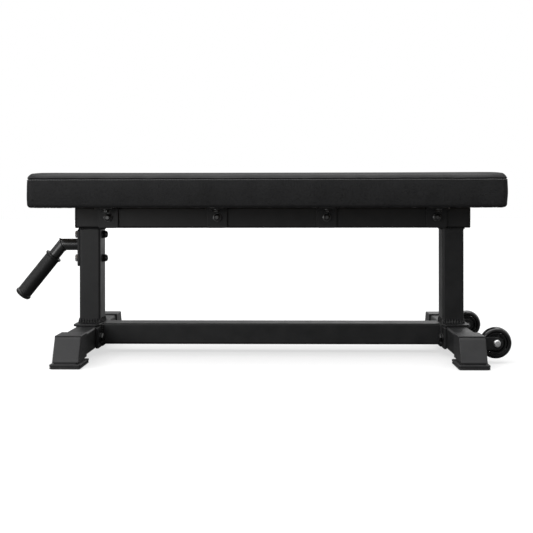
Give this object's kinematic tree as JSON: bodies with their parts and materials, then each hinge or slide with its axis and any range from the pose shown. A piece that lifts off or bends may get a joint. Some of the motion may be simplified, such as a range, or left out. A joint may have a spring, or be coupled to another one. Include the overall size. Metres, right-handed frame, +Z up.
{
  "type": "flat weight bench",
  "caption": "Flat weight bench: padded board on a steel spine, two uprights on cross feet in rubber boots, a lifting handle at one end and transport wheels at the other.",
  "frame": {"origin": "on the floor, under the middle of the bench's outer box", "axes": "+X along the bench from the handle to the wheels, +Z up, -Y towards the long side where the spine nuts are"},
  "size_m": [1.1507, 0.6, 0.4239],
  "materials": {
    "paint": "black powder coat, satin",
    "vinyl": "grained black vinyl",
    "foam": "open foam, inside the cover",
    "wood": "plain plywood, inside the pad",
    "rubber": "matte moulded rubber",
    "plastic": "moulded end cap",
    "zinc": "bright zinc plate",
    "black_zinc": "black zinc plate",
    "urethane": "glossy black polyurethane",
    "hub": "ribbed nylon"
  },
  "bodies": {
    "frame": {"foot_tube_left": "paint", "foot_tube_right": "paint", "base_plate_left": "paint", "base_plate_right": "paint", "upright_left": "paint", "upright_right": "paint", "stringer": "paint", "spine_beam": "paint", "handle_plate": "paint", "handle_tube": "paint", "wheel_fork_front": "paint", "wheel_fork_rear": "paint", "pad_bracket_front_1": "paint", "pad_bracket_front_2": "paint", "pad_bracket_front_3": "paint", "pad_bracket_front_4": "paint", "pad_bracket_rear_1": "paint", "pad_bracket_rear_2": "paint", "pad_bracket_rear_3": "paint", "pad_bracket_rear_4": "paint", "spine_cap_left": "plastic", "spine_cap_right": "plastic", "pad_cover": "vinyl", "pad_foam": "foam", "pad_board": "wood", "boot_left_front": "rubber", "stringer_bolt_left_front": "black_zinc", "boot_left_rear": "rubber", "stringer_bolt_left_rear": "black_zinc", "boot_right_front": "rubber", "stringer_bolt_right_front": "black_zinc", "boot_right_rear": "rubber", "stringer_bolt_right_rear": "black_zinc", "handle_grip": "rubber", "pad_bolt_front_1": "black_zinc", "pad_bolt_front_2": "black_zinc", "pad_bolt_front_3": "black_zinc", "pad_bolt_front_4": "black_zinc", "pad_bolt_rear_1": "black_zinc", "pad_bolt_rear_2": "black_zinc", "pad_bolt_rear_3": "black_zinc", "pad_bolt_rear_4": "black_zinc", "spine_bolt_1": "black_zinc", "spine_nut_1": "black_zinc", "spine_bolt_2": "black_zinc", "spine_nut_2": "black_zinc", "spine_bolt_3": "black_zinc", "spine_nut_3": "black_zinc", "spine_bolt_4": "black_zinc", "spine_nut_4": "black_zinc", "handle_bolt_1": "black_zinc", "handle_nut_1": "black_zinc", "handle_bolt_2": "black_zinc", "handle_nut_2": "black_zinc", "wheel_axle_front": "zinc", "wheel_axle_rear": "zinc"},
    "wheel_front": {"wheel_hub_front": "hub", "wheel_tyre_front": "urethane"},
    "wheel_rear": {"wheel_hub_rear": "hub", "wheel_tyre_rear": "urethane"}
  },
  "joints": [
    {"name": "wheel_front_spin", "type": "hinge", "parent": "frame", "child": "wheel_front", "pos_m": [0.54093, -0.1845, 0.0445], "axis": [0, 1, 0], "continuous": true},
    {"name": "wheel_rear_spin", "type": "hinge", "parent": "frame", "child": "wheel_rear", "pos_m": [0.54093, 0.1845, 0.0445], "axis": [0, 1, 0], "continuous": true}
  ]
}
